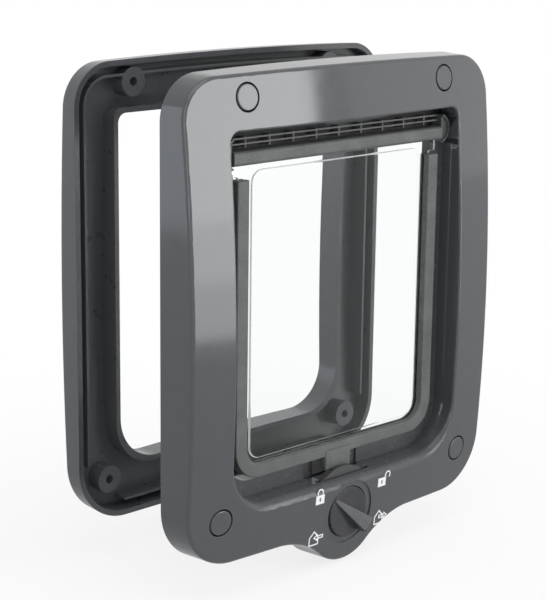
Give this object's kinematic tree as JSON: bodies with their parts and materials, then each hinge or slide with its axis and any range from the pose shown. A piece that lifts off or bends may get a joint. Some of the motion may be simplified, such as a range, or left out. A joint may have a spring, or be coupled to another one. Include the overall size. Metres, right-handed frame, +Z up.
{
  "type": "cat flap",
  "caption": "Grey plastic cat flap for a door: a room side frame with a clear swinging flap, a locking dial and capped screws, and an outdoor frame that clamps behind it.",
  "frame": {"origin": "on the plane of the door's room side face, on the symmetry plane, midway between the two rows of clamp screws, at the centre of the hole in the door", "axes": "+Z up, +X to the right seen from the room, +Y through the door to the outdoors"},
  "size_m": [0.196, 0.0995, 0.2356],
  "materials": {
    "frame_grey": "glossy moulded plastic",
    "rear_grey": "glossy moulded plastic",
    "textured_grey": "fine spark texture",
    "clear_plastic": "clear polished",
    "lock_plastic": "satin moulded plastic",
    "steel": "bright zinc",
    "magnet": "plated magnet"
  },
  "bodies": {
    "front_unit": {"front_frame": "frame_grey", "hinge_grille": "textured_grey", "lock_cover": "lock_plastic", "cover_screws": "steel", "detent_spring": "steel", "sill_magnet": "magnet", "screw_cap_top_left": "frame_grey", "screw_cap_top_right": "frame_grey", "screw_cap_bottom_left": "frame_grey", "screw_cap_bottom_right": "frame_grey", "clamp_screw_top_left": "steel", "clamp_screw_top_right": "steel", "clamp_screw_bottom_left": "steel", "clamp_screw_bottom_right": "steel"},
    "flap": {"flap_panel": "clear_plastic", "hinge_bar": "textured_grey", "flap_band": "textured_grey", "pivot_pin_left": "steel", "pivot_pin_right": "steel", "tab_magnet": "magnet"},
    "dial": {"dial_knob": "frame_grey", "dial_shaft": "lock_plastic", "front_lock_disc": "lock_plastic", "disc_spacer": "lock_plastic", "rear_lock_disc": "lock_plastic", "dial_screw": "steel"},
    "rear": {"rear_frame": "rear_grey"}
  },
  "joints": [
    {"name": "flap_swing", "type": "hinge", "parent": "front_unit", "child": "flap", "pos_m": [0, -0.00907, 0.066], "axis": [1, 0, 0], "range_deg": [0, 85]},
    {"name": "dial_turn", "type": "hinge", "parent": "front_unit", "child": "dial", "pos_m": [0, -0.0188, -0.106], "axis": [0, -1, 0], "range_deg": [-100, 180]},
    {"name": "frame_slide", "type": "slide", "parent": "front_unit", "child": "rear", "axis": [0, -1, 0], "range_m": [0, 0.04]}
  ]
}
